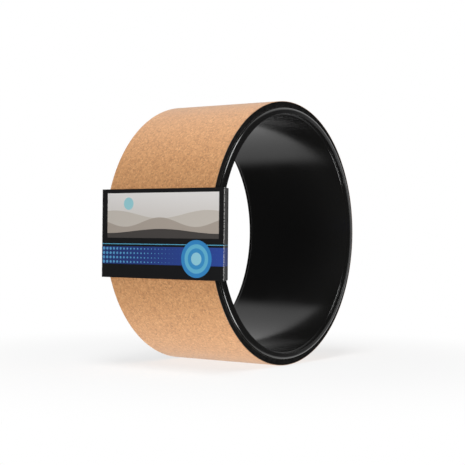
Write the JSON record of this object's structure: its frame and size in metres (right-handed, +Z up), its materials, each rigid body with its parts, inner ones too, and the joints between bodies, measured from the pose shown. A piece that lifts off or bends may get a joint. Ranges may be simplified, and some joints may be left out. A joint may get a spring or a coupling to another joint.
{
  "type": "yoga wheel",
  "caption": "Padded yoga wheel: a gloss plastic ring wrapped in foam and a thin cork tread, with a folded card sales sleeve that can slide round its rim.",
  "frame": {"origin": "centre of the wheel, on its axis and midway across its padding", "axes": "+Y along the wheel's axis, +Z up with the wheel standing on its tread, the card sleeve on the -X side"},
  "size_m": [0.2508, 0.1498, 0.25],
  "materials": {
    "ring_plastic": "black, smooth gloss moulding",
    "bond_film": "clear adhesive film",
    "pad_foam": "black closed-cell foam, dull cut edge",
    "tread_cork": "fine pressed cork granules, sanded",
    "printed_card": "printed coated card, satin",
    "lap_glue": "dried clear glue"
  },
  "bodies": {
    "wheel": {"core_ring": "ring_plastic", "ring_bond_film": "bond_film", "foam_pad": "pad_foam", "cork_bond_film": "bond_film", "cork_cover": "tread_cork"},
    "sleeve": {"card_sleeve": "printed_card", "sleeve_glue": "lap_glue"}
  },
  "joints": [
    {"name": "sleeve_slide_round", "type": "hinge", "parent": "wheel", "child": "sleeve", "pos_m": [0, 0, 0], "axis": [0, 1, 0], "continuous": true}
  ]
}
